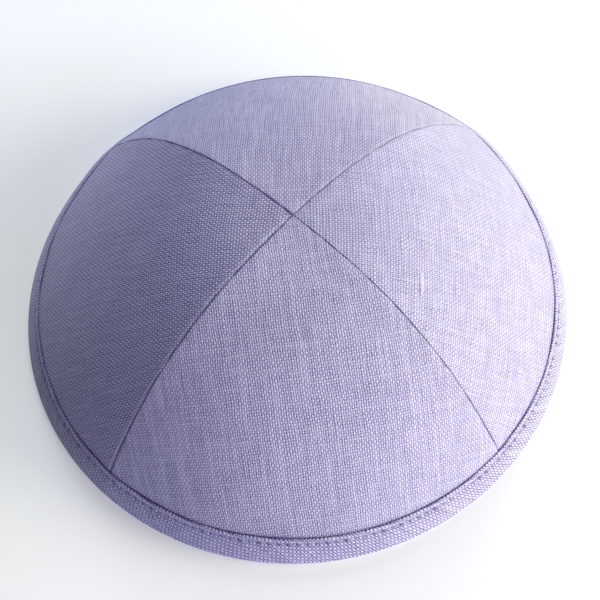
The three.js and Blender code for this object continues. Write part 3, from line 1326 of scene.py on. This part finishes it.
def stitch_tree():
    """Geometry Nodes that lay one stitch on each point, turned along its row."""
    tree = bpy.data.node_groups.new("band_stitches", "GeometryNodeTree")
    wanted = (
        ("Geometry", "INPUT", "NodeSocketGeometry"),
        ("Stitch Length", "INPUT", "NodeSocketFloat"),
        ("Thread Radius", "INPUT", "NodeSocketFloat"),
        ("Slant", "INPUT", "NodeSocketFloat"),
        ("Seed", "INPUT", "NodeSocketInt"),
        ("Material", "INPUT", "NodeSocketMaterial"),
        ("Geometry", "OUTPUT", "NodeSocketGeometry"),
    )
    for name, way, kind in wanted:
        tree.interface.new_socket(name, in_out=way, socket_type=kind)
    network = Network(tree)
    given = {
        name: network.add("NodeGroupInput", None, None, name)
        for name, way, _ in wanted
        if way == "INPUT"
    }

    def at(x, z):
        return network.add("ShaderNodeCombineXYZ", None, {"X": x, "Z": z})

    length, radius = given["Stitch Length"], given["Thread Radius"]
    arch = network.add(
        "GeometryNodeCurveQuadraticBezier",
        None,
        {
            "Resolution": 5,
            "Start": at(length * -0.44, radius * -1.4),
            "Middle": at(length * 0.0, radius * 2.2),
            "End": at(length * 0.44, radius * -1.4),
        },
    )
    ring = network.add(
        "GeometryNodeCurvePrimitiveCircle",
        {"mode": "RADIUS"},
        {"Resolution": 6, "Radius": radius},
    )
    stitch = network.add(
        "GeometryNodeCurveToMesh", None, {"Curve": arch, "Profile Curve": ring, "Fill Caps": True}
    )

    def stored(name):
        return network.add(
            "GeometryNodeInputNamedAttribute", {"data_type": "FLOAT_VECTOR"}, {"Name": name}, "Attribute"
        )

    facing = network.add(
        "FunctionNodeAxesToRotation",
        {"primary_axis": "Z", "secondary_axis": "X"},
        {"Primary Axis": stored("out_of_cloth"), "Secondary Axis": stored("along_row")},
    )
    scatter = network.add(
        "FunctionNodeRandomValue",
        {"data_type": "FLOAT"},
        {"Min": -0.5, "Max": 0.5, "Seed": given["Seed"]},
        "Value",
    )
    turn = network.add("ShaderNodeCombineXYZ", None, {"Z": given["Slant"] + scatter * given["Slant"]})
    turned = network.add(
        "FunctionNodeRotateRotation", {"rotation_space": "LOCAL"}, {"Rotation": facing, "Rotate By": turn}
    )
    laid = network.add(
        "GeometryNodeInstanceOnPoints",
        None,
        {"Points": given["Geometry"], "Instance": stitch, "Rotation": turned},
    )
    real = network.add("GeometryNodeRealizeInstances", None, {"Geometry": laid})
    sockets = {"Geometry": real, "Material": given["Material"]}
    painted = network.add("GeometryNodeSetMaterial", None, sockets)
    network.add("NodeGroupOutput", None, {"Geometry": painted})
    return tree


def stitch_places(form, sewing):
    """The middles of the stitches outside and inside the band, with their rows' ways."""
    section = BandSection(form, sewing)
    azimuth = (np.arange(section.stitches) + 0.5) * 2 * math.pi / section.stitches
    _, out, _, width = form.band_face(azimuth)
    line = sewing.stitch_line + 0 * azimuth
    clear_of_cloth = 0.2 * sewing.thread_radius
    outer = section.outer_height(azimuth, line, width) + clear_of_cloth
    inner = -2 * form.fold_radius - section.inner_height(azimuth, line, width)
    inner -= clear_of_cloth
    round_the_cap = np.stack([-np.sin(azimuth), np.cos(azimuth), 0 * azimuth], -1)
    outward = in_space(azimuth, out)
    places = [
        section.in_space(azimuth, np.stack([line, row], -1)[:, None])[:, 0]
        for row in (outer, inner)
    ]
    return np.concatenate(places), np.tile(round_the_cap, (2, 1)), np.concatenate([outward, -outward])


def make_stitches(form, sewing, thread):
    """The thread of the band's row of stitches, laid by Geometry Nodes and made a plain mesh."""
    places, along, outward = stitch_places(form, sewing)
    mesh = bpy.data.meshes.new("stitch_points")
    mesh.from_pydata(places.tolist(), [], [])
    for name, vectors in (("along_row", along), ("out_of_cloth", outward)):
        attribute = mesh.attributes.new(name, "FLOAT_VECTOR", "POINT")
        attribute.data.foreach_set("vector", vectors.astype(np.float32).ravel())
    maker = bpy.data.objects.new("stitch_points", mesh)
    bpy.context.scene.collection.objects.link(maker)
    modifier = maker.modifiers.new("stitches", "NODES")
    modifier.node_group = stitch_tree()
    values = {
        "Stitch Length": sewing.stitch_length,
        "Thread Radius": sewing.thread_radius,
        "Slant": sewing.stitch_slant,
        "Seed": sewing.seed,
        "Material": thread,
    }
    for item in modifier.node_group.interface.items_tree:
        if item.in_out == "INPUT" and item.name in values:
            modifier[item.identifier] = values[item.name]
    shown = maker.evaluated_get(bpy.context.evaluated_depsgraph_get())
    plain = bpy.data.meshes.new_from_object(shown)
    bpy.data.objects.remove(maker)
    plain.name = "band_stitches"
    plain.shade_smooth()
    piece = bpy.data.objects.new("band_stitches", plain)
    bpy.context.scene.collection.objects.link(piece)
    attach(piece, BODY)
    return piece


# Thick place in one yarn


def make_thick_yarn(form, sewing, finish, material):
    """A thick, loosely spun place in one crossing yarn of the right panel."""
    panel = form.panels()[3]
    pattern = Pattern(form, panel)
    start, end = np.array(finish.thick_yarn_start), np.array(finish.thick_yarn_end)
    way = np.linspace(0, 1, 41)[:, None]
    thickness = finish.thick_yarn_width / 2 * np.sin(math.pi * way**1.7) ** 0.75 + 0.03 * MM
    thickness *= 1 + 0.12 * np.sin(way * 31) * way
    middle = start + (end - start) * way
    middle[:, 1] += 0.12 * MM * np.sin(way[:, 0] * 5)
    angle = np.linspace(0, 2 * math.pi, 14, endpoint=False)[None]
    flat = middle[:, None] + (thickness * np.cos(angle))[..., None] * [0, 1]
    across, share = np.moveaxis(pattern.place_of(flat), -1, 0)
    azimuth = panel.middle + across * panel.half_angle
    resting = form.place(panel, azimuth, share, 0 * share)
    lift = soft_waves(resting, sewing.softness, sewing.seed) + thickness * np.sin(angle) * 0.16
    points = form.place(panel, azimuth, share, lift + 0.04 * MM)
    rows, columns = points.shape[:2]
    row, column = np.meshgrid(np.arange(rows - 1), np.arange(columns), indexing="ij")
    here = (row * columns + column).ravel()
    beside = (row * columns + (column + 1) % columns).ravel()
    sides = np.stack([here, beside, beside + columns, here + columns], -1).tolist()
    last = (rows - 1) * columns
    ends = [list(range(columns))[::-1], list(range(last, last + columns))]
    piece = new_piece("thick_yarn", points.reshape(-1, 3), sides + ends, material)
    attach(piece, BODY)
    return piece


# Stage


def make_floor(glow):
    """A plain pale surface with a little light behind it, painted darker and less blue round the cap's
    shade on its left.
    """
    # Painted shade: the surface is darker and less blue near this point, where the cap's shade falls.
    shade_middle = (-110 * MM, -10 * MM, 0)
    shade_reach = 140 * MM
    in_shade = (0.57, 0.585, 0.55, 1)
    in_light = (0.65, 0.675, 0.8, 1)
    material = bpy.data.materials.new("pale_surface")
    material.use_nodes = True
    network = Network(material.node_tree)
    where = network.add("ShaderNodeTexCoord", None, None, "Object")
    sockets = {0: where, 1: shade_middle}
    from_shade = network.add("ShaderNodeVectorMath", {"operation": "DISTANCE"}, sockets, "Value")
    away = eased_wire(network, from_shade, 0, shade_reach)
    colour = mixed_colour(network, away, in_shade, in_light)
    sockets = {
        "Base Color": colour,
        "Roughness": 0.8,
        "Emission Color": PALE_LIGHT,
        "Emission Strength": glow,
    }
    shader = network.add("ShaderNodeBsdfPrincipled", None, sockets)
    network.add("ShaderNodeOutputMaterial", None, {"Surface": shader})
    half = 4.0
    corners = np.array([[-half, -half, 0], [half, -half, 0], [half, half, 0], [-half, half, 0]])
    floor = new_piece("pale_floor", corners, [[0, 1, 2, 3]], material)


def aim(thing, place, target, roll=0.0):
    """Puts a camera or a light at a place, facing a target."""
    back = (place - target).normalized()
    facing = (-back).to_track_quat("-Z", "Y").to_matrix()
    turned = facing @ Matrix.Rotation(roll, 3, "Z")
    thing.matrix_world = Matrix.Translation(place) @ turned.to_4x4()


def make_camera(stage):
    """The camera at the photograph's angle."""
    data = bpy.data.cameras.new("camera")
    data.sensor_width = 36
    data.lens = stage.camera_lens
    data.clip_start = 0.01
    camera = bpy.data.objects.new("camera", data)
    bpy.context.scene.collection.objects.link(camera)
    elevation = stage.camera_elevation
    target = Vector(stage.camera_target)
    back = Vector((0, -math.cos(elevation), math.sin(elevation)))
    aim(camera, target + back * stage.camera_distance, target, stage.camera_roll)
    bpy.context.scene.camera = camera


def make_light(name, azimuth, elevation, power, colour):
    """A soft square light that faces the cap."""
    distance = 0.9
    data = bpy.data.lights.new(name, "AREA")
    data.size = 0.5
    data.energy = power
    data.color = colour
    light = bpy.data.objects.new(name, data)
    light.visible_camera = False
    bpy.context.scene.collection.objects.link(light)
    level = math.cos(elevation)
    way = Vector((level * math.cos(azimuth), level * math.sin(azimuth), math.sin(elevation)))
    aim(light, way * distance, Vector((0, 0, 0.02)))


def make_room(strength, seen):
    """The even light of a pale room, and how bright its walls look to the camera."""
    world = bpy.data.worlds.new("pale_room")
    world.use_nodes = True
    network = Network(world.node_tree)
    to_camera = network.add("ShaderNodeLightPath", None, None, "Is Camera Ray")
    sockets = {"Color": PALE_LIGHT, "Strength": to_camera * seen + strength}
    background = network.add("ShaderNodeBackground", None, sockets)
    network.add("ShaderNodeOutputWorld", None, {"Surface": background})
    bpy.context.scene.world = world


# Operators


def settings_of(context):
    """The four groups of settings."""
    scene = context.scene
    return scene.cap_sizes, scene.cap_sewing, scene.cap_linen, scene.cap_stage


class LINENCAP_OT_stage(bpy.types.Operator):
    """Makes the floor, the camera and the light."""

    bl_idname = "linencap.stage"
    bl_label = "Make stage"

    def execute(self, context):
        stage = settings_of(context)[3]
        make_floor(stage.floor_glow)
        make_camera(stage)
        low, high = math.radians(18), math.radians(38)
        make_light("window", math.radians(-10), low, stage.window_power, (1, 0.94, 0.6))
        make_light("front", math.radians(-60), low, stage.front_power, (0.82, 0.8, 1))
        make_light("back", math.radians(90), high, stage.back_power, (0.9, 0.95, 1))
        make_room(stage.ambient, stage.floor_glow)
        context.scene.view_settings.view_transform = "Standard"
        return {"FINISHED"}


class LINENCAP_OT_panels(bpy.types.Operator):
    """Makes the four panels."""

    bl_idname = "linencap.panels"
    bl_label = "Make panels"

    def execute(self, context):
        sizes, sewing, finish, _ = settings_of(context)
        form = CapForm(sizes)
        for number, panel in enumerate(form.panels()):
            # The four materials differ partly in painted light: their painted shade and yarn paleness
            # follow how the window light falls on each panel.
            looks = (
                finish.panel_differences[number],
                finish.panel_hole_shades[number],
                finish.panel_slubs[number],
            )
            material = linen(f"{panel.side}_linen", finish, finish.panel_pitches, *looks)
            make_panel(form, panel, number, sewing, finish, material)
        return {"FINISHED"}


class LINENCAP_OT_band(bpy.types.Operator):
    """Makes the band folded round the rim."""

    bl_idname = "linencap.band"
    bl_label = "Make band"

    def execute(self, context):
        sizes, sewing, finish, _ = settings_of(context)
        looks = (finish.band_difference, finish.band_hole_shade, finish.band_slubs)
        material = linen("rim_linen", finish, finish.band_pitches, *looks)
        make_band(CapForm(sizes), sewing, finish, material)
        return {"FINISHED"}


class LINENCAP_OT_stitches(bpy.types.Operator):
    """Makes the row of stitches in the band."""

    bl_idname = "linencap.stitches"
    bl_label = "Make stitches"

    def execute(self, context):
        sizes, sewing, finish, _ = settings_of(context)
        make_stitches(CapForm(sizes), sewing, spun_fibre("sewing_thread", finish, finish.thread))
        return {"FINISHED"}


class LINENCAP_OT_thick_yarn(bpy.types.Operator):
    """Makes the thick place in one yarn of the right panel."""

    bl_idname = "linencap.thick_yarn"
    bl_label = "Make thick yarn"

    def execute(self, context):
        sizes, sewing, finish, _ = settings_of(context)
        material = spun_fibre("thick_yarn", finish, finish.thick_yarn)
        make_thick_yarn(CapForm(sizes), sewing, finish, material)
        return {"FINISHED"}


class LINENCAP_PT_sidebar(bpy.types.Panel):
    """Lists the operators and the settings."""

    bl_idname = "LINENCAP_PT_sidebar"
    bl_label = "Linen cap"
    bl_space_type = "VIEW_3D"
    bl_region_type = "UI"
    bl_category = "Linen cap"

    def draw(self, context):
        for operator in OPERATORS:
            self.layout.operator(operator.bl_idname)
        for group in settings_of(context):
            box = self.layout.box()
            for name in group.__annotations__:
                box.prop(group, name)


OPERATORS = (
    LINENCAP_OT_stage,
    LINENCAP_OT_panels,
    LINENCAP_OT_band,
    LINENCAP_OT_stitches,
    LINENCAP_OT_thick_yarn,
)
SETTINGS = {
    "cap_sizes": CapSizes,
    "cap_sewing": SewingSizes,
    "cap_linen": LinenFinish,
    "cap_stage": StageSettings,
}


def register():
    """Registers the settings, the operators and the sidebar."""
    for group in SETTINGS.values():
        bpy.utils.register_class(group)
    for operator in OPERATORS:
        bpy.utils.register_class(operator)
    bpy.utils.register_class(LINENCAP_PT_sidebar)
    for name, group in SETTINGS.items():
        setattr(bpy.types.Scene, name, PointerProperty(type=group))


def unregister():
    """Takes back what register did."""
    for name in SETTINGS:
        delattr(bpy.types.Scene, name)
    bpy.utils.unregister_class(LINENCAP_PT_sidebar)
    for kind in reversed((*SETTINGS.values(), *OPERATORS)):
        bpy.utils.unregister_class(kind)


def main():
    """Makes the whole cap and its stage."""
    register()
    bpy.ops.linencap.stage()
    bpy.ops.linencap.panels()
    bpy.ops.linencap.band()
    bpy.ops.linencap.stitches()
    bpy.ops.linencap.thick_yarn()


if __name__ == "__main__":
    main()
